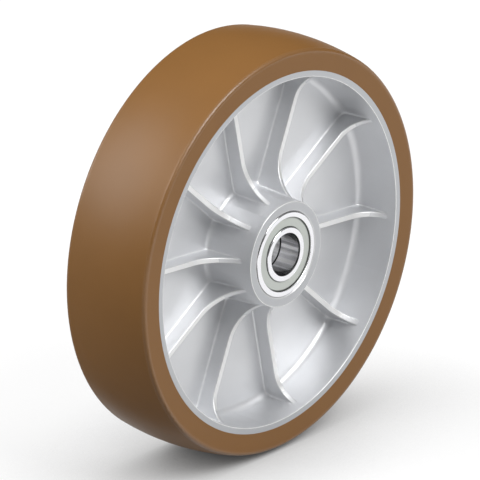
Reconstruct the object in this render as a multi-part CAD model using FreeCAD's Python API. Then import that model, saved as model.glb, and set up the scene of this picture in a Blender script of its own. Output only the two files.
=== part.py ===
# Heavy duty wheel: a cast aluminium centre with a bonded polyurethane tread, turning on two
# shielded deep-groove ball bearings that a spacer tube holds apart on the axle.
# Millimetres and degrees. The wheel turns about the Y axis, the front looks along -Y, Z is up.
# The origin is the centre of the wheel.
import FreeCAD
import Part
import math
import os

from FreeCAD import Vector

# Overall sizes of the wheel
wheel_diameter = 250.0
wheel_width = 60.0
hub_length = 70.0

# Tread, moulded and bonded on the rim
tread_thickness = 15.9
tread_crown_radius = 150.0
tread_edge_radius = 1.9

# Rim, web and hub of the casting
rim_thickness = 3.8
rim_draft = 2.5
rim_lip_radius = 0.4
web_thickness = 5.5
web_rim_fillet = 4.5
web_hub_fillet = 3.1
hub_wall_thickness = 5.95
hub_draft = 3.5
hub_edge_radius = 0.45

# Ribs, the same on both sides of the web; a drop is counted from the face of the rim or hub
rib_count = 10
first_rib_angle = -6.0
rib_crest_drop = 17.75
rib_hub_drop = 6.65
rib_hub_arc = 28.0
rib_rim_drop = 5.95
rib_rim_arc = 18.0
rib_root_turn = 9.0
rib_crest_thickness = 3.4
rib_draft = 1.0
rib_edge_radius = 0.55
rib_foot_fillet = 1.0

# Ball bearings
bearing_bore = 25.0
bearing_outside = 52.0
bearing_width = 15.0
ring_corner = 1.0
shoulder_edge_radius = 0.65
shoulder_reach = 2.75
ball_count = 9
ball_diameter = 7.938
groove_conformity = 0.52
ball_clearance = 0.05

# Bearing shields; the rim of each is pressed in deeper and snapped into a groove of the outer ring
shield_thickness = 0.5
shield_recess = 0.8
shield_rim_drop = 0.5
shield_slope_width = 0.9
shield_mouth_depth = 0.6
shield_mouth_edge = 0.2
shield_groove_depth = 0.95
shield_edge_clearance = 0.05
shield_running_gap = 0.25
shield_lip = 0.7
shield_bend_radius = 0.3

# Ball cage, two pressed ribbons riveted together between the balls
ribbon_thickness = 0.8
ribbon_width = 3.4
pocket_clearance = 0.15
rivet_diameter = 1.0
rivet_head_diameter = 1.6
rivet_head_height = 0.4
rivet_clearance = 0.05

# Bearing seats in the hub, and the tube between the inner rings
bearing_proud = 0.3
seat_shoulder_height = 3.5
seat_chamfer = 0.5
spacer_wall = 3.5
spacer_chamfer = 0.3

# Places that follow from the sizes above
wheel_radius = wheel_diameter / 2
half_width = wheel_width / 2
half_web = web_thickness / 2
rim_radius = wheel_radius - tread_thickness
bore_radius = bearing_bore / 2
seat_radius = bearing_outside / 2
half_bearing = bearing_width / 2
bearing_face = hub_length / 2
bearing_middle = bearing_face - half_bearing
seat_floor = bearing_face - bearing_width
hub_face = bearing_face - bearing_proud
hub_radius = seat_radius + hub_wall_thickness
pitch_radius = (bore_radius + seat_radius) / 2
inner_shoulder = pitch_radius - shoulder_reach
outer_shoulder = pitch_radius + shoulder_reach
ball_radius = ball_diameter / 2
pocket_radius = ball_radius + pocket_clearance
groove_radius = groove_conformity * ball_diameter
shield_outer_face = half_bearing - shield_recess
shield_inner_face = shield_outer_face - shield_thickness
shield_rim_outer = shield_outer_face - shield_rim_drop
shield_rim_inner = shield_inner_face - shield_rim_drop
shield_mouth = outer_shoulder + shield_mouth_depth
shield_groove = outer_shoulder + shield_groove_depth

WHEEL_CENTRE = Vector(0, 0, 0)
WHEEL_AXIS = Vector(0, 1, 0)
ON_PITCH_CIRCLE = Vector(pitch_radius, 0, 0)
BETWEEN_BALLS = 180.0 / ball_count
TOUCHING = 1e-3


def outline(start, *moves):
    """A flat face in the XY plane; each move is a point, or a pair for an arc through the first."""
    edges = []
    here = Vector(*start)
    for move in moves + (start,):
        if isinstance(move[0], tuple):
            through = Vector(*move[0])
            there = Vector(*move[1])
            edges.append(Part.Arc(here, through, there).toShape())
        else:
            there = Vector(*move)
            edges.append(Part.LineSegment(here, there).toShape())
        here = there
    return Part.Face(Part.Wire(edges))


def turned(section):
    """A section, with X as the radius, turned about the wheel's axis."""
    return section.revolve(WHEEL_CENTRE, WHEEL_AXIS, 360)


def mirrored(points):
    """The same points on the other side of the middle plane, in the opposite order."""
    return [(x, -y) for x, y in reversed(points)]


def turned_over(piece):
    """A copy of a piece, mirrored in the middle plane."""
    return piece.mirror(WHEEL_CENTRE, WHEEL_AXIS)


def rounded(solid, fillet, *circles):
    """The solid with its round edges at each (radius, y) filleted."""
    edges = []
    for edge in solid.Edges:
        if not isinstance(edge.Curve, Part.Circle):
            continue
        for radius, y in circles:
            same_size = abs(edge.Curve.Radius - radius) < TOUCHING
            same_place = abs(edge.Curve.Center.y - y) < TOUCHING
            if same_size and same_place:
                edges.append(edge)
    return solid.makeFillet(fillet, edges)


def around(solid, count, first_angle=0.0):
    """Copies of a solid at even steps round the wheel's axis, from +X towards +Z."""
    copies = []
    for k in range(count):
        copy = solid.copy()
        copy.rotate(WHEEL_CENTRE, WHEEL_AXIS, -first_angle - 360.0 * k / count)
        copies.append(copy)
    return copies


def tread():
    """The tyre: flat sides, a crowned running face and rounded edges."""
    drop = tread_crown_radius - math.sqrt(tread_crown_radius**2 - half_width**2)
    side_radius = wheel_radius - drop
    section = outline(
        (rim_radius, -half_width),
        (side_radius, -half_width),
        ((wheel_radius, 0), (side_radius, half_width)),
        (rim_radius, half_width),
    )
    edges = [(side_radius, -half_width), (side_radius, half_width)]
    return rounded(turned(section), tread_edge_radius, *edges)


def hub_wall(y):
    """Radius of the tapered hub at a distance from the middle plane."""
    return hub_radius + (hub_face - y) * math.tan(math.radians(hub_draft))


def rim_wall(y):
    """Radius of the rim's tapered inside at a distance from the middle plane."""
    return rim_radius - rim_thickness - (half_width - y) * math.tan(math.radians(rim_draft))


def plain_casting():
    """Hub, web and rim turned as one section, with the bearing seats and the cast fillets."""
    half_section = [
        (rim_radius, half_width),
        (rim_wall(half_width), half_width),
        (rim_wall(half_web), half_web),
        (hub_wall(half_web), half_web),
        (hub_radius, hub_face),
        (seat_radius + seat_chamfer, hub_face),
        (seat_radius, hub_face - seat_chamfer),
        (seat_radius, seat_floor),
        (seat_radius - seat_shoulder_height, seat_floor),
    ]
    body = turned(outline(*half_section, *mirrored(half_section)))
    for side in (-1, 1):
        body = rounded(body, web_hub_fillet, (hub_wall(half_web), side * half_web))
        body = rounded(body, web_rim_fillet, (rim_wall(half_web), side * half_web))
        body = rounded(body, hub_edge_radius, (hub_radius, side * hub_face))
        body = rounded(body, rim_lip_radius, (rim_wall(half_width), side * half_width))
    return body


def rib_side_view():
    """Outline of a rib along +X; its straight crest rises in an arc to the hub and to the rim."""
    crest = half_width - rib_crest_drop
    hub_end = hub_face - rib_hub_drop
    rim_end = half_width - rib_rim_drop
    hub_angle = math.acos(1 - (hub_end - crest) / rib_hub_arc)
    rim_angle = math.acos(1 - (rim_end - crest) / rib_rim_arc)
    hub_bend = hub_wall(hub_end) + rib_hub_arc * math.sin(hub_angle)
    rim_bend = rim_wall(rim_end) - rib_rim_arc * math.sin(rim_angle)

    def on_arc(bend, radius, angle):
        return (bend + radius * math.sin(angle), crest + abs(radius) * (1 - math.cos(angle)))

    # The arcs run on a little way, so that the rib's ends lie inside the hub and the rim
    root_turn = math.radians(rib_root_turn)
    hub_root = on_arc(hub_bend, -rib_hub_arc, hub_angle + root_turn)
    rim_root = on_arc(rim_bend, rib_rim_arc, rim_angle + root_turn)
    return outline(
        (hub_root[0], 0),
        (rim_root[0], 0),
        rim_root,
        (on_arc(rim_bend, rib_rim_arc, rim_angle / 2), (rim_bend, crest)),
        (hub_bend, crest),
        (on_arc(hub_bend, -rib_hub_arc, hub_angle / 2), hub_root),
    )


def rib():
    """One tapered rib along +X on the +Y side, with its crest rounded along both edges."""
    taper = math.tan(math.radians(rib_draft))
    half_crest = rib_crest_thickness / 2
    half_foot = half_crest + (half_width - rib_crest_drop) * taper
    half_tip = half_foot - hub_face * taper
    end_view = Part.makePolygon(
        [
            Vector(0, 0, -half_foot),
            Vector(0, 0, half_foot),
            Vector(0, hub_face, half_tip),
            Vector(0, hub_face, -half_tip),
            Vector(0, 0, -half_foot),
        ]
    )
    bar = Part.Face(end_view).extrude(Vector(wheel_radius, 0, 0))
    slab = rib_side_view().extrude(Vector(0, 0, 4 * half_foot))
    slab.translate(Vector(0, 0, -2 * half_foot))
    sharp_rib = slab.common(bar)
    crest_edges = []
    for face in sharp_rib.Faces:
        u_low, u_high, v_low, v_high = face.ParameterRange
        rises = face.normalAt((u_low + u_high) / 2, (v_low + v_high) / 2).y
        if rises > 2 * taper:
            crest_edges += [e for e in face.Edges if abs(e.CenterOfMass.z) > half_tip / 2]
    return sharp_rib.makeFillet(rib_edge_radius, crest_edges)


def ribbed_sector():
    """One rib's share of the casting at +X, on the +Y side, with a fillet all round the rib's foot."""
    body = plain_casting()
    # The seam of the turned faces goes to the far side, clear of the rib
    body.rotate(WHEEL_CENTRE, WHEEL_AXIS, 180)
    one_rib = rib()
    ribbed = body.fuse(one_rib)
    feet = []
    for edge in ribbed.Edges:
        middle = Part.Vertex(edge.valueAt(sum(edge.ParameterRange) / 2))
        on_body = body.Shells[0].distToShape(middle)[0] < TOUCHING
        if on_body and one_rib.distToShape(middle)[0] < TOUCHING:
            feet.append(edge)
    # The fillet starts on the longest foot edge, the straight one along the web
    feet.sort(key=lambda edge: edge.Length, reverse=True)
    filleted = ribbed.makeFillet(rib_foot_fillet, feet)
    half_share = wheel_radius * math.tan(math.pi / rib_count)
    share = outline((0, 0), (wheel_radius, -half_share), (wheel_radius, half_share))
    share.rotate(WHEEL_CENTRE, Vector(1, 0, 0), 90)
    wedge = share.extrude(Vector(0, hub_face, 0))
    return filleted.common(wedge)


def cast_centre():
    """The casting: like sectors all round the axle on both sides of the web, joined as one piece."""
    sectors = around(ribbed_sector(), rib_count, first_rib_angle)
    sectors += [turned_over(sector) for sector in sectors]
    return sectors[0].multiFuse(sectors[1:]).removeSplitter()


def groove_half_width(shoulder, groove_centre):
    """Half the width of a ball groove where it meets the ring's shoulder."""
    return math.sqrt(groove_radius**2 - (shoulder - groove_centre) ** 2)


def outer_ring():
    """The ring in the hub: a ball groove, and at each face a groove that holds a shield."""
    groove_floor = pitch_radius + ball_radius + ball_clearance
    groove_edge = groove_half_width(outer_shoulder, groove_floor - groove_radius)
    half_section = [
        (seat_radius, half_bearing),
        (shield_mouth, half_bearing),
        (shield_mouth, shield_rim_outer),
        (shield_groove, shield_rim_outer),
        (shield_groove, shield_rim_inner),
        (outer_shoulder, shield_rim_inner),
        (outer_shoulder, groove_edge),
    ]
    other_half = mirrored(half_section)
    ball_groove = ((groove_floor, 0), other_half[0])
    ring = turned(outline(*half_section, ball_groove, *other_half[1:]))
    for y in (-half_bearing, half_bearing):
        ring = rounded(ring, ring_corner, (seat_radius, y))
        ring = rounded(ring, shield_mouth_edge, (shield_mouth, y))
    return ring


def inner_ring():
    """The ring on the axle, with the ball groove round its outside."""
    groove_floor = pitch_radius - ball_radius - ball_clearance
    groove_edge = groove_half_width(inner_shoulder, groove_floor + groove_radius)
    section = outline(
        (bore_radius, -half_bearing),
        (inner_shoulder, -half_bearing),
        (inner_shoulder, -groove_edge),
        ((groove_floor, 0), (inner_shoulder, groove_edge)),
        (inner_shoulder, half_bearing),
        (bore_radius, half_bearing),
    )
    ring = turned(section)
    for y in (-half_bearing, half_bearing):
        ring = rounded(ring, ring_corner, (bore_radius, y))
        ring = rounded(ring, shoulder_edge_radius, (inner_shoulder, y))
    return ring


def shield():
    """The pressed sheet ring at the +Y face: a lip beside the inner ring, a flat face, a sunk rim."""
    inside = inner_shoulder + shield_running_gap
    outside = shield_groove - shield_edge_clearance
    lip_outside = inside + shield_thickness
    lip_end = shield_inner_face - shield_lip
    flat_edge = shield_mouth - shield_slope_width
    slope = math.atan2(shield_rim_drop, shield_slope_width)
    bend_shift = shield_thickness * math.tan(slope / 2)
    section = outline(
        (inside, lip_end),
        (lip_outside, lip_end),
        (lip_outside, shield_inner_face),
        (flat_edge - bend_shift, shield_inner_face),
        (shield_mouth - bend_shift, shield_rim_inner),
        (outside, shield_rim_inner),
        (outside, shield_rim_outer),
        (shield_mouth, shield_rim_outer),
        (flat_edge, shield_outer_face),
        (inside, shield_outer_face),
    )
    bends = [(inside, shield_outer_face), (flat_edge, shield_outer_face)]
    return rounded(turned(section), shield_bend_radius, *bends)


def ball():
    """One ball, on the pitch circle at +X."""
    return Part.makeSphere(ball_radius, ON_PITCH_CIRCLE)


def ribbon(height):
    """A ring as wide as the cage's ribbon, standing on the bearing's middle plane."""
    inside = pitch_radius - ribbon_width / 2
    outside = pitch_radius + ribbon_width / 2
    return turned(outline((inside, 0), (outside, 0), (outside, height), (inside, height)))


def cage_half():
    """The +Y half of the cage: a ribbon, flat between the balls and domed over each of them."""
    dome_radius = pocket_radius + ribbon_thickness
    dome = Part.makeSphere(dome_radius, ON_PITCH_CIRCLE).common(ribbon(dome_radius))
    pressed = ribbon(ribbon_thickness).multiFuse(around(dome, ball_count))
    pocket = Part.makeSphere(pocket_radius, ON_PITCH_CIRCLE)
    hole_radius = rivet_diameter / 2 + rivet_clearance
    hole = Part.makeCylinder(hole_radius, ribbon_thickness, ON_PITCH_CIRCLE, WHEEL_AXIS)
    return pressed.cut(around(pocket, ball_count) + around(hole, ball_count, BETWEEN_BALLS))


def rivet():
    """One rivet of the cage at +X: a shank through both ribbons and a domed head on each."""
    shank = rivet_diameter / 2
    head = rivet_head_diameter / 2
    crown = ribbon_thickness + rivet_head_height
    dome = (head**2 + rivet_head_height**2) / (2 * rivet_head_height)
    half_turn = math.asin(head / dome) / 2
    across = dome * math.sin(half_turn)
    along = crown - dome * (1 - math.cos(half_turn))
    section = outline(
        (0, -crown),
        ((across, -along), (head, -ribbon_thickness)),
        (shank, -ribbon_thickness),
        (shank, ribbon_thickness),
        (head, ribbon_thickness),
        ((across, along), (0, crown)),
    )
    piece = turned(section)
    piece.translate(ON_PITCH_CIRCLE)
    return piece


def spacer_tube():
    """The tube that keeps the two inner rings apart and carries their bore on between them."""
    half_section = [
        (bore_radius + spacer_wall, seat_floor),
        (bore_radius + spacer_chamfer, seat_floor),
        (bore_radius, seat_floor - spacer_chamfer),
    ]
    return turned(outline(*half_section, *mirrored(half_section)))


def bearing(side):
    """Each piece of one bearing by name, in place; side is -1 at the front and 1 at the rear."""
    pieces = {
        "outer_ring": outer_ring(),
        "inner_ring": inner_ring(),
        "cage_rivets": Part.makeCompound(around(rivet(), ball_count, BETWEEN_BALLS)),
    }
    for number, one_ball in enumerate(around(ball(), ball_count), 1):
        pieces[f"ball_{number}"] = one_ball
    rear_facing, front_facing = ("outer", "inner") if side > 0 else ("inner", "outer")
    pieces[f"{rear_facing}_shield"] = shield()
    pieces[f"{front_facing}_shield"] = turned_over(shield())
    pieces[f"cage_{rear_facing}_half"] = cage_half()
    pieces[f"cage_{front_facing}_half"] = turned_over(cage_half())
    for piece in pieces.values():
        piece.translate(Vector(0, side * bearing_middle, 0))
    return pieces


nodes = {
    "tread": tread(),
    "cast_centre": cast_centre(),
    "spacer_tube": spacer_tube(),
}
for end, side in (("front", -1), ("rear", 1)):
    for name, piece in bearing(side).items():
        nodes[f"{end}_{name}"] = piece

os.makedirs("parts", exist_ok=True)
for name, shape in nodes.items():
    shape.exportStep(f"parts/{name}.step")
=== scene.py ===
import math

import bpy
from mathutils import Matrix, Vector


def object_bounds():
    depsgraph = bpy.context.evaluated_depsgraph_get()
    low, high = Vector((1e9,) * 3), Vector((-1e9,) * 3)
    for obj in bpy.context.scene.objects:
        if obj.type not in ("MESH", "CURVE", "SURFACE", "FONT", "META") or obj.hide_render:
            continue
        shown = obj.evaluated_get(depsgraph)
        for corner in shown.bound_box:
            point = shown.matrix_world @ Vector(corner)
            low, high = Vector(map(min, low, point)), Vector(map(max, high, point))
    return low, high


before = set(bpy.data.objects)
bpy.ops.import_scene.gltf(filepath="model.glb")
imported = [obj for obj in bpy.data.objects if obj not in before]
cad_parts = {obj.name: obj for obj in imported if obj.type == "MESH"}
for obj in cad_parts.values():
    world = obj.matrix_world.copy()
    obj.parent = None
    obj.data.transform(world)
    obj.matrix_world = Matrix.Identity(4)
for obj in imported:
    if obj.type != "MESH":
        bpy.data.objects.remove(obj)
cad_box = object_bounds()

# Wheel centre: one aluminium casting, with a hub, a web, a rim and ten ribs on each side.
# It is cast in a metal mould and blasted, and the faces of its rim and hub are then turned on
# a lathe. Its edges, creases and the crests of its ribs carry a painted highlight.
mm = 0.001


def linear(colour):
    """An sRGB colour, written as six hex digits, as linear RGBA."""
    parts = [int(colour[i : i + 2], 16) / 255 for i in (0, 2, 4)]
    return [c / 12.92 if c <= 0.04045 else ((c + 0.055) / 1.055) ** 2.4 for c in parts] + [1.0]


def add(tree, kind, inputs, **settings):
    """One shader node; an input is a value, or the output that is linked to it."""
    node = tree.nodes.new("ShaderNode" + kind)
    for name, value in settings.items():
        setattr(node, name, value)
    for socket, value in inputs.items():
        if isinstance(value, bpy.types.NodeSocket):
            tree.links.new(value, node.inputs[socket])
        else:
            node.inputs[socket].default_value = value
    return node


def node_tree_of(thing):
    """The empty node tree of a new material or world."""
    thing.use_nodes = True
    thing.node_tree.nodes.clear()
    return thing.node_tree


def from_axle(tree, place):
    """How far a place is from the axle's line."""
    across = add(tree, "VectorMath", {0: place, 1: (1, 0, 1)}, operation="MULTIPLY")
    length = add(tree, "VectorMath", {0: across.outputs["Vector"]}, operation="LENGTH")
    return length.outputs["Value"]


def towards_end(tree):
    """How squarely a surface faces an end of the axle: 1 if squarely, 0 if it runs along it."""
    normal = add(tree, "TexCoord", {}).outputs["Normal"]
    facing = add(tree, "SeparateXYZ", {"Vector": normal})
    return add(tree, "Math", {0: facing.outputs["Y"]}, operation="ABSOLUTE").outputs[0]


def finish_node(node, material):
    """Gives a CAD node its material, smooth curves and crisp corners, and keeps its flats flat."""
    crisp_from = math.radians(40)
    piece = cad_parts[node]
    mesh = piece.data
    mesh.materials.clear()
    mesh.materials.append(material)
    mesh.polygons.foreach_set("use_smooth", [True] * len(mesh.polygons))
    mesh.set_sharp_from_angle(angle=crisp_from)
    weighted = piece.modifiers.new("flat_faces_stay_flat", "WEIGHTED_NORMAL")
    weighted.keep_sharp = True


grain_size = 1.0 * mm
cloud_size = 28 * mm
turning_pitch = 0.6 * mm
wave_repeat = 2 * math.pi / 20  # the length at which a wave texture of scale 1 repeats
turned_square = 0.99
turned_beyond = 20 * mm
turned_roughness = 0.38
crest_square = 0.8
crest_beyond = 9 * mm
# Shares of painted highlight: on the crests, and on every open face.
crest_highlight_share = 0.85
crest_white_share = 0.40
least_highlight_share = 0.12
edge_reach = 0.85 * mm
tread_from = 107.5 * mm
cast_colour = linear("e0e1e3")
turned_colour = linear("b0b2b5")
# The colours of the painted highlight on edges, creases and crests.
highlight_colour = linear("f4f4f5")
highlight_white_colour = linear("fafaf8")

# Blasted cast aluminium: a pale satin metal with a fine grain and faintly cloudy patches.
# The turned faces are darker and smoother, with rings round the axle, and the edges, creases
# and crests carry a painted highlight. The real grain is about 0.1 mm and the real rings are about
# 0.2 mm apart, too fine to show in the render, so both are drawn coarser.
cast_aluminium = bpy.data.materials.new("cast_aluminium_blasted")
tree = node_tree_of(cast_aluminium)
place = add(tree, "TexCoord", {}).outputs["Object"]
square = towards_end(tree)
along = add(tree, "SeparateXYZ", {"Vector": place})
from_middle = add(tree, "Math", {0: along.outputs["Y"]}, operation="ABSOLUTE").outputs[0]

# Turned faces are square to the axle and far from the wheel's middle. The crests of the ribs
# are less square, and lie between them and the web.
faces_end = add(tree, "Math", {0: square, 1: turned_square}, operation="GREATER_THAN")
far_out = add(tree, "Math", {0: from_middle, 1: turned_beyond}, operation="GREATER_THAN")
turned = add(
    tree,
    "Math",
    {0: faces_end.outputs[0], 1: far_out.outputs[0]},
    operation="MULTIPLY",
).outputs[0]
on_top = add(tree, "Math", {0: square, 1: crest_square}, operation="GREATER_THAN")
above_web = add(tree, "Math", {0: from_middle, 1: crest_beyond}, operation="GREATER_THAN")
crest = add(
    tree,
    "Math",
    {0: on_top.outputs[0], 1: above_web.outputs[0]},
    operation="MULTIPLY",
)
crest = add(
    tree,
    "Math",
    {0: crest.outputs[0], 1: turned},
    operation="SUBTRACT",
    use_clamp=True,
).outputs[0]

grain = add(tree, "TexNoise", {"Vector": place, "Scale": 1 / grain_size, "Detail": 3.0})
clouds = add(tree, "TexNoise", {"Vector": place, "Scale": 1 / cloud_size, "Detail": 2.0})
rings = add(
    tree,
    "TexWave",
    {"Vector": place, "Scale": wave_repeat / turning_pitch},
    wave_type="RINGS",
    rings_direction="Y",
)
tone = add(tree, "MapRange", {"Value": clouds.outputs["Fac"], "To Min": 0.95, "To Max": 1.05})
skin = add(
    tree,
    "MixRGB",
    {"Fac": turned, "Color1": cast_colour, "Color2": turned_colour},
)
colour = add(
    tree,
    "HueSaturation",
    {"Value": tone.outputs["Result"], "Color": skin.outputs["Color"]},
)
cast_rough = add(
    tree,
    "MapRange",
    {"Value": grain.outputs["Fac"], "To Min": 0.57, "To Max": 0.65},
)
roughness = add(
    tree,
    "MixRGB",
    {"Fac": turned, "Color1": cast_rough.outputs["Result"], "Color2": [turned_roughness] * 4},
)
relief = add(
    tree,
    "MixRGB",
    {"Fac": turned, "Color1": grain.outputs["Fac"], "Color2": rings.outputs["Fac"]},
)
bump = add(
    tree,
    "Bump",
    {"Strength": 0.25, "Distance": 0.02 * mm, "Height": relief.outputs["Color"]},
)
blasted = add(
    tree,
    "BsdfPrincipled",
    {
        "Base Color": colour.outputs["Color"],
        "Metallic": 1.0,
        "Roughness": roughness.outputs["Color"],
        "Normal": bump.outputs["Normal"],
    },
)
# A brighter, smoother metal that paints a highlight on edges, creases and crests.
bright_rough = add(tree, "MapRange", {"Value": crest, "To Min": 0.25, "To Max": 0.42})
highlight_metal = add(
    tree,
    "BsdfPrincipled",
    {
        "Base Color": highlight_colour,
        "Metallic": 1.0,
        "Roughness": bright_rough.outputs["Result"],
        "Normal": bump.outputs["Normal"],
    },
)

# Near an edge there is open air behind the surface, and in a crease there is metal in front
# of it. Under the tread, neither counts.
ridges = add(
    tree,
    "AmbientOcclusion",
    {"Distance": edge_reach},
    samples=4,
    inside=True,
    only_local=True,
)
creases = add(tree, "AmbientOcclusion", {"Distance": edge_reach}, samples=4, only_local=True)
open_face = add(
    tree,
    "Math",
    {0: ridges.outputs["AO"], 1: creases.outputs["AO"]},
    operation="MINIMUM",
)
under_tread = add(
    tree,
    "Math",
    {0: from_axle(tree, place), 1: tread_from},
    operation="GREATER_THAN",
)
open_face = add(
    tree,
    "Math",
    {0: open_face.outputs[0], 1: under_tread.outputs[0]},
    operation="MAXIMUM",
).outputs[0]
# Edges and creases get a painted highlight, and the crests get more of it.
edge_highlight = add(
    tree,
    "MapRange",
    {
        "Value": open_face,
        "From Min": 0.95,
        "From Max": 0.75,
        "To Min": least_highlight_share,
        "To Max": 0.95,
    },
)
crest_highlight = add(tree, "Math", {0: crest, 1: crest_highlight_share}, operation="MULTIPLY")
edge_highlight = add(
    tree,
    "Math",
    {0: edge_highlight.outputs["Result"], 1: crest_highlight.outputs[0]},
    operation="MAXIMUM",
)
metal = add(
    tree,
    "MixShader",
    {"Fac": edge_highlight.outputs[0], 1: blasted.outputs["BSDF"], 2: highlight_metal.outputs["BSDF"]},
)
# Matt white over edges, creases and crests: more painted highlight.
white_highlight = add(tree, "BsdfDiffuse", {"Color": highlight_white_colour})
white_highlight_share = add(
    tree,
    "MapRange",
    {"Value": open_face, "From Min": 0.92, "From Max": 0.72, "To Max": 0.65},
)
white_highlight_share = add(
    tree,
    "MixRGB",
    {"Fac": crest, "Color1": white_highlight_share.outputs["Result"], "Color2": [crest_white_share] * 4},
)
metal = add(
    tree,
    "MixShader",
    {"Fac": white_highlight_share.outputs["Color"], 1: metal.outputs["Shader"], 2: white_highlight.outputs["BSDF"]},
)
add(tree, "OutputMaterial", {"Surface": metal.outputs["Shader"]})
finish_node("cast_centre", cast_aluminium)

# Tread: a tyre of brown polyurethane, cast in a mould round the rim and bonded to it.
# It has a crowned running face, flat sides and rounded edges, and leaves the mould satin smooth.
skin_grain = 0.7 * mm
mottle_size = 22 * mm
gloss_reach = 2.5 * mm
gloss_from = 116 * mm
gloss_roughness = 0.30
tread_colour = linear("8a5e28")

# Moulded polyurethane: an even brown with a soft sheen and faint mottling, and glossy edges,
# where the mould was polished. The real grain of its skin is about 0.1 mm, too fine to show in
# the render, so it is drawn coarser.
polyurethane = bpy.data.materials.new("polyurethane_moulded_brown")
tree = node_tree_of(polyurethane)
place = add(tree, "TexCoord", {}).outputs["Object"]
skin = add(tree, "TexNoise", {"Vector": place, "Scale": 1 / skin_grain, "Detail": 2.0})
mottle = add(tree, "TexNoise", {"Vector": place, "Scale": 1 / mottle_size, "Detail": 3.0})
tone = add(tree, "MapRange", {"Value": mottle.outputs["Fac"], "To Min": 0.95, "To Max": 1.05})
colour = add(tree, "HueSaturation", {"Value": tone.outputs["Result"], "Color": tread_colour})
satin = add(tree, "MapRange", {"Value": skin.outputs["Fac"], "To Min": 0.42, "To Max": 0.50})
edges = add(
    tree,
    "AmbientOcclusion",
    {"Distance": gloss_reach},
    samples=4,
    inside=True,
    only_local=True,
)
edges = add(
    tree,
    "MapRange",
    {"Value": edges.outputs["AO"], "From Min": 0.92, "From Max": 0.72},
)
outside = add(
    tree,
    "Math",
    {0: from_axle(tree, place), 1: gloss_from},
    operation="GREATER_THAN",
)
edges = add(
    tree,
    "Math",
    {0: edges.outputs["Result"], 1: outside.outputs[0]},
    operation="MULTIPLY",
).outputs[0]
roughness = add(
    tree,
    "MixRGB",
    {"Fac": edges, "Color1": satin.outputs["Result"], "Color2": [gloss_roughness] * 4},
)
bump = add(
    tree,
    "Bump",
    {"Strength": 0.2, "Distance": 0.02 * mm, "Height": skin.outputs["Fac"]},
)
rubber = add(
    tree,
    "BsdfPrincipled",
    {
        "Base Color": colour.outputs["Color"],
        "Roughness": roughness.outputs["Color"],
        "IOR": 1.52,
        "Coat Weight": edges,
        "Coat Roughness": 0.35,
        "Coat IOR": 2.1,
        "Normal": bump.outputs["Normal"],
    },
)
add(tree, "OutputMaterial", {"Surface": rubber.outputs["BSDF"]})
finish_node("tread", polyurethane)

# Bearing rings: hardened chrome steel, turned and then ground bright on every face.
# The outer rings are pressed into the hub and the inner rings slide on the axle.
ends = ("front", "rear")
grinding_pitch = 0.25 * mm
seam_width = 1.2 * mm
bore_within = 13 * mm
bore_roughness = 0.16
corner_square = 0.15
corner_roughness = 0.50
streak_width = 2.5 * mm
streak_stretch = (1, 0.02, 1)
ground_colour = linear("efeff2")
corner_shade_colour = linear("3a3a3b")
seam_shade_colour = linear("4a4a48")


def seam_shaded(tree, colour):
    """The colour of a bare metal, painted darker as shade where another piece is close."""
    seams = add(tree, "AmbientOcclusion", {"Distance": seam_width}, samples=8)
    unshaded = add(
        tree,
        "MapRange",
        {"Value": seams.outputs["AO"], "From Min": 0.45, "From Max": 0.90},
    )
    mix = add(
        tree,
        "MixRGB",
        {"Fac": unshaded.outputs["Result"], "Color1": seam_shade_colour, "Color2": colour},
    )
    return mix.outputs["Color"]


# Ground chrome steel: near white, with a sharp shine and painted shade in its seams. Its bore has
# streaks where an axle has slid in it, and the corners there are unground and dull, and painted
# dark as shade. The real grinding marks are about 0.02 mm apart, too fine to show in the render,
# and are drawn coarser.
bearing_steel = bpy.data.materials.new("chrome_steel_ground")
tree = node_tree_of(bearing_steel)
place = add(tree, "TexCoord", {}).outputs["Object"]
rings = add(
    tree,
    "TexWave",
    {"Vector": place, "Scale": wave_repeat / grinding_pitch, "Distortion": 1.5},
    wave_type="RINGS",
    rings_direction="Y",
)
polish = add(tree, "MapRange", {"Value": rings.outputs["Fac"], "To Min": 0.12, "To Max": 0.18})
in_bore = add(
    tree,
    "Math",
    {0: from_axle(tree, place), 1: bore_within},
    operation="LESS_THAN",
).outputs[0]
roughness = add(
    tree,
    "MixRGB",
    {"Fac": in_bore, "Color1": polish.outputs["Result"], "Color2": [bore_roughness] * 4},
)
corner = add(tree, "Math", {0: towards_end(tree), 1: corner_square}, operation="GREATER_THAN")
corner = add(tree, "Math", {0: corner.outputs[0], 1: in_bore}, operation="MULTIPLY").outputs[0]
roughness = add(
    tree,
    "MixRGB",
    {"Fac": corner, "Color1": roughness.outputs["Color"], "Color2": [corner_roughness] * 4},
)
# Painted shade where another piece is close.
colour = seam_shaded(tree, ground_colour)
stretched = add(tree, "VectorMath", {0: place, 1: streak_stretch}, operation="MULTIPLY")
streaks = add(
    tree,
    "TexNoise",
    {"Vector": stretched.outputs["Vector"], "Scale": 1 / streak_width, "Detail": 1.0},
)
streaks = add(
    tree,
    "MapRange",
    {
        "Value": streaks.outputs["Fac"],
        "From Min": 0.40,
        "From Max": 0.52,
        "To Min": 0.70,
        "To Max": 1.16,
    },
)
streaks = add(
    tree,
    "MixRGB",
    {"Fac": in_bore, "Color1": linear("ffffff"), "Color2": streaks.outputs["Result"]},
)
colour = add(
    tree,
    "MixRGB",
    {"Fac": 1.0, "Color1": colour, "Color2": streaks.outputs["Color"]},
    blend_type="MULTIPLY",
)
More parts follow.
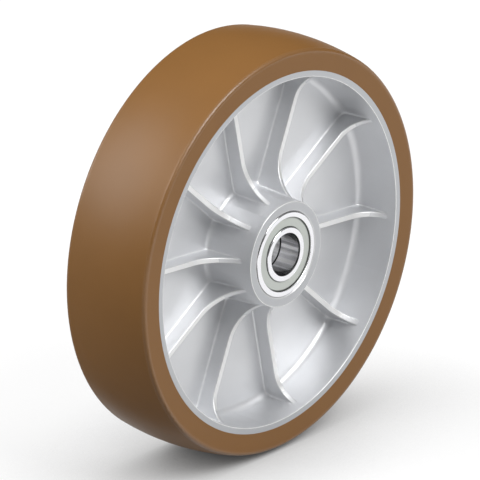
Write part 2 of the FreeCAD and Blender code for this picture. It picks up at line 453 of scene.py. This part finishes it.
# The bore's corners are painted dark: painted shade.
colour = add(
    tree,
    "MixRGB",
    {"Fac": corner, "Color1": colour.outputs["Color"], "Color2": corner_shade_colour},
)
bump = add(
    tree,
    "Bump",
    {"Strength": 0.1, "Distance": 0.01 * mm, "Height": rings.outputs["Fac"]},
)
metal = add(
    tree,
    "BsdfPrincipled",
    {
        "Base Color": colour.outputs["Color"],
        "Metallic": 1.0,
        "Roughness": roughness.outputs["Color"],
        "Normal": bump.outputs["Normal"],
    },
)
add(tree, "OutputMaterial", {"Surface": metal.outputs["BSDF"]})
for end in ends:
    finish_node(f"{end}_outer_ring", bearing_steel)
    finish_node(f"{end}_inner_ring", bearing_steel)

# Balls: nine to a bearing, forged from the same steel, ground and then lapped.
# They roll in the grooves between the two rings.
lapping_haze = 3 * mm
ball_colour = linear("dcdddf")

# Lapped chrome steel: a mirror with a faint haze. The real haze is finer than the render can
# show, and is drawn coarser.
ball_steel = bpy.data.materials.new("chrome_steel_lapped")
tree = node_tree_of(ball_steel)
place = add(tree, "TexCoord", {}).outputs["Object"]
haze = add(tree, "TexNoise", {"Vector": place, "Scale": 1 / lapping_haze, "Detail": 3.0})
roughness = add(tree, "MapRange", {"Value": haze.outputs["Fac"], "To Min": 0.06, "To Max": 0.12})
metal = add(
    tree,
    "BsdfPrincipled",
    {"Base Color": ball_colour, "Metallic": 1.0, "Roughness": roughness.outputs["Result"]},
)
add(tree, "OutputMaterial", {"Surface": metal.outputs["BSDF"]})
balls = [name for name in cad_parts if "_ball_" in name]
for ball in balls:
    finish_node(ball, ball_steel)

# Ball cages: two ribbons of steel strip to a bearing, pressed into pockets for the balls.
# They close over the balls from both sides and are riveted together between them.
strip_grain = 1.5 * mm
strip_colour = linear("a9a8a3")

# Pressed steel strip: a dull, warm grey with blotchy, soft reflections.
cage_steel = bpy.data.materials.new("steel_strip_pressed")
tree = node_tree_of(cage_steel)
place = add(tree, "TexCoord", {}).outputs["Object"]
grain = add(tree, "TexNoise", {"Vector": place, "Scale": 1 / strip_grain, "Detail": 4.0})
tone = add(tree, "MapRange", {"Value": grain.outputs["Fac"], "To Min": 0.9, "To Max": 1.1})
colour = add(tree, "HueSaturation", {"Value": tone.outputs["Result"], "Color": strip_colour})
roughness = add(tree, "MapRange", {"Value": grain.outputs["Fac"], "To Min": 0.30, "To Max": 0.45})
metal = add(
    tree,
    "BsdfPrincipled",
    {
        "Base Color": colour.outputs["Color"],
        "Metallic": 1.0,
        "Roughness": roughness.outputs["Result"],
    },
)
add(tree, "OutputMaterial", {"Surface": metal.outputs["BSDF"]})
for end in ends:
    for piece in ("cage_outer_half", "cage_inner_half", "cage_rivets"):
        finish_node(f"{end}_{piece}", cage_steel)

# Shields: thin steel rings that keep the grease in, pressed from rolled sheet.
# Each snaps into a groove of the outer ring and stops just short of the inner one.
rolling_grain = 0.8 * mm
sheet_colour = linear("cacec9")

# Dull sheet steel: a faintly green grey that hardly shines. The real grain from rolling is
# about 0.1 mm, too fine to show in the render, so it is drawn coarser.
shield_steel = bpy.data.materials.new("sheet_steel_dull")
tree = node_tree_of(shield_steel)
place = add(tree, "TexCoord", {}).outputs["Object"]
grain = add(tree, "TexNoise", {"Vector": place, "Scale": 1 / rolling_grain, "Detail": 3.0})
tone = add(tree, "MapRange", {"Value": grain.outputs["Fac"], "To Min": 0.96, "To Max": 1.04})
colour = add(tree, "HueSaturation", {"Value": tone.outputs["Result"], "Color": sheet_colour})
roughness = add(tree, "MapRange", {"Value": grain.outputs["Fac"], "To Min": 0.45, "To Max": 0.55})
metal = add(
    tree,
    "BsdfPrincipled",
    {
        "Base Color": colour.outputs["Color"],
        "Metallic": 1.0,
        "Roughness": roughness.outputs["Result"],
    },
)
add(tree, "OutputMaterial", {"Surface": metal.outputs["BSDF"]})
for end in ends:
    finish_node(f"{end}_outer_shield", shield_steel)
    finish_node(f"{end}_inner_shield", shield_steel)

# Spacer tube: a length of drawn steel tube, faced and chamfered at both ends.
# It slides on the axle, and is clamped between the inner rings to hold them apart.
draw_line_width = 1.2 * mm
end_square = 0.5
end_roughness = 0.60
tube_colour = linear("f4f4f5")
end_shade_colour = linear("262625")

# Drawn steel tube: a bright satin metal with streaks along its length, and ends painted dark as
# shade in the joints. The real lines from drawing are about 0.1 mm wide, too fine to show in the
# render, so they are drawn coarser.
tube_steel = bpy.data.materials.new("steel_tube_drawn")
tree = node_tree_of(tube_steel)
place = add(tree, "TexCoord", {}).outputs["Object"]
stretched = add(tree, "VectorMath", {0: place, 1: streak_stretch}, operation="MULTIPLY")
lines = add(
    tree,
    "TexNoise",
    {"Vector": stretched.outputs["Vector"], "Scale": 1 / draw_line_width, "Detail": 2.0},
)
tone = add(
    tree,
    "MapRange",
    {
        "Value": lines.outputs["Fac"],
        "From Min": 0.40,
        "From Max": 0.56,
        "To Min": 0.82,
        "To Max": 1.1,
    },
)
colour = add(tree, "HueSaturation", {"Value": tone.outputs["Result"], "Color": tube_colour})
# Painted shade where another piece is close.
colour = seam_shaded(tree, colour.outputs["Color"])
roughness = add(tree, "MapRange", {"Value": lines.outputs["Fac"], "To Min": 0.30, "To Max": 0.40})
at_end = add(
    tree,
    "Math",
    {0: towards_end(tree), 1: end_square},
    operation="GREATER_THAN",
).outputs[0]
# The ends are painted dark: painted shade in the joints.
colour = add(tree, "MixRGB", {"Fac": at_end, "Color1": colour, "Color2": end_shade_colour})
roughness = add(
    tree,
    "MixRGB",
    {"Fac": at_end, "Color1": roughness.outputs["Result"], "Color2": [end_roughness] * 4},
)
bump = add(
    tree,
    "Bump",
    {"Strength": 0.2, "Distance": 0.02 * mm, "Height": lines.outputs["Fac"]},
)
metal = add(
    tree,
    "BsdfPrincipled",
    {
        "Base Color": colour.outputs["Color"],
        "Metallic": 1.0,
        "Roughness": roughness.outputs["Color"],
        "Normal": bump.outputs["Normal"],
    },
)
add(tree, "OutputMaterial", {"Surface": metal.outputs["BSDF"]})
finish_node("spacer_tube", tube_steel)

# Floor: one wide sheet of white paper, laid flat, that the wheel stands on.
# It is wide enough to fill the view from any side, and keeps a soft shadow under the wheel,
# part real shadow and part painted shadow.
floor_reach = 4.0
floor_height = cad_box[0].z
paper_colour = linear("898989")
paper_glow = 0.8
painted_shadow_reach = 0.11

floor_mesh = bpy.data.meshes.new("floor")
corners = [(-1, -1), (1, -1), (1, 1), (-1, 1)]
corners = [(x * floor_reach, y * floor_reach, floor_height) for x, y in corners]
floor_mesh.from_pydata(corners, [], [range(4)])
floor = bpy.data.objects.new("floor", floor_mesh)
bpy.context.scene.collection.objects.link(floor)


def seen_directly(tree):
    """1 for what is seen, straight or in a mirror or glass; 0 for light that falls on things."""
    path = add(tree, "LightPath", {})
    seen = add(
        tree,
        "Math",
        {0: path.outputs["Is Camera Ray"], 1: path.outputs["Is Glossy Ray"]},
        operation="MAXIMUM",
    )
    seen = add(
        tree,
        "Math",
        {0: seen.outputs[0], 1: path.outputs["Is Transmission Ray"]},
        operation="MAXIMUM",
    )
    return seen.outputs[0]


# Matt white paper: an even white with no grain to see. What is seen of it glows a little, so
# that it stays white in a dim room, and less so where the wheel is close, which paints a shadow
# there.
white_paper = bpy.data.materials.new("white_paper_matt")
tree = node_tree_of(white_paper)
paper = add(tree, "BsdfDiffuse", {"Color": paper_colour})
# The glow fades near the wheel: a painted shadow.
clear = add(tree, "AmbientOcclusion", {"Distance": painted_shadow_reach}, samples=8)
glow = add(tree, "Math", {0: seen_directly(tree), 1: paper_glow}, operation="MULTIPLY")
glow = add(tree, "Math", {0: glow.outputs[0], 1: clear.outputs["AO"]}, operation="MULTIPLY")
glow = add(tree, "Emission", {"Strength": glow.outputs[0]})
both = add(tree, "AddShader", {0: paper.outputs[0], 1: glow.outputs[0]})
add(tree, "OutputMaterial", {"Surface": both.outputs[0]})
floor_mesh.materials.append(white_paper)

# Room: a dim studio round the wheel, painted dark, with a paler ceiling.
# Only its light is made: it grows with the square of the height above the horizon.
wall_light = 0.06
ceiling_light = 0.60

room = bpy.data.worlds.new("dim_room")
bpy.context.scene.world = room
tree = node_tree_of(room)
height = add(
    tree,
    "SeparateXYZ",
    {"Vector": add(tree, "TexCoord", {}).outputs["Generated"]},
).outputs["Z"]
height = add(tree, "Math", {0: height, 1: height}, operation="MULTIPLY")
light = add(
    tree,
    "MapRange",
    {"Value": height.outputs[0], "To Min": wall_light, "To Max": ceiling_light},
)
surround = add(
    tree,
    "Background",
    {"Color": linear("ffffff"), "Strength": light.outputs["Result"]},
)
add(tree, "OutputWorld", {"Surface": surround.outputs[0]})


# Lamps: two large softboxes, square boxes of black cloth with a white front, on stands.
# The key is high in front, and a dimmer one is high at the left, behind the wheel.
def softbox(name, direction, distance, size, brightness):
    """A square lamp that faces the wheel; at a brightness of 1 it looks as white as paper."""
    lamp = bpy.data.lights.new(name, "AREA")
    lamp.size = size
    lamp.energy = brightness * math.pi * size**2
    holder = bpy.data.objects.new(name, lamp)
    holder.location = Vector(direction).normalized() * distance
    holder.rotation_mode = "QUATERNION"
    holder.rotation_quaternion = (-holder.location).to_track_quat("-Z", "Y")
    holder.visible_camera = False
    bpy.context.scene.collection.objects.link(holder)


softbox("key_softbox", (0.08, -0.68, 0.72), distance=4.0, size=2.4, brightness=6.6)
softbox("left_softbox", (-0.56, 0.60, 0.57), distance=4.0, size=2.8, brightness=4.4)

# Flag: a sheet of grey card that lies on the floor at the left, out of the camera's sight.
# It takes the place of white floor in what the wheel's left side mirrors, so that this side
# stays dark. It casts no shadow of its own.
flag_left, flag_right, flag_near, flag_far = -1.6, -0.08, -0.28, 1.6
flag_height = floor_height + 2 * mm
card_colour = linear("949494")

flag_mesh = bpy.data.meshes.new("flag")
corners = [
    (flag_left, flag_near, flag_height),
    (flag_right, flag_near, flag_height),
    (flag_right, flag_far, flag_height),
    (flag_left, flag_far, flag_height),
]
flag_mesh.from_pydata(corners, [], [range(4)])
flag = bpy.data.objects.new("flag", flag_mesh)
flag.visible_camera = False
flag.visible_shadow = False
bpy.context.scene.collection.objects.link(flag)

# Matt grey card: an even mid grey on top, and clear from below, so that light from the floor
# passes through it.
grey_card = bpy.data.materials.new("grey_card_matt")
tree = node_tree_of(grey_card)
card = add(tree, "BsdfDiffuse", {"Color": card_colour})
open_below = add(tree, "BsdfTransparent", {})
underside = add(tree, "NewGeometry", {}).outputs["Backfacing"]
card = add(tree, "MixShader", {"Fac": underside, 1: card.outputs[0], 2: open_below.outputs[0]})
add(tree, "OutputMaterial", {"Surface": card.outputs[0]})
flag_mesh.materials.append(grey_card)

# Camera: a long lens, so far away that parallel lines stay parallel.
# It looks at the middle of the wheel from the photograph's angle, with the photograph's frame.
camera_azimuth = math.radians(-49.98)
camera_elevation = math.radians(22.0)
camera_distance = 2.0
frame_width = 0.2792

towards_camera = Vector(
    (
        math.sin(camera_azimuth) * math.cos(camera_elevation),
        -math.cos(camera_azimuth) * math.cos(camera_elevation),
        math.sin(camera_elevation),
    )
)
camera_data = bpy.data.cameras.new("camera")
camera_data.type = "ORTHO"
camera_data.ortho_scale = frame_width
camera = bpy.data.objects.new("camera", camera_data)
camera.location = towards_camera * camera_distance
camera.rotation_mode = "QUATERNION"
camera.rotation_quaternion = (-towards_camera).to_track_quat("-Z", "Y")
bpy.context.scene.collection.objects.link(camera)
bpy.context.scene.camera = camera
bpy.context.scene.view_settings.view_transform = "Standard"
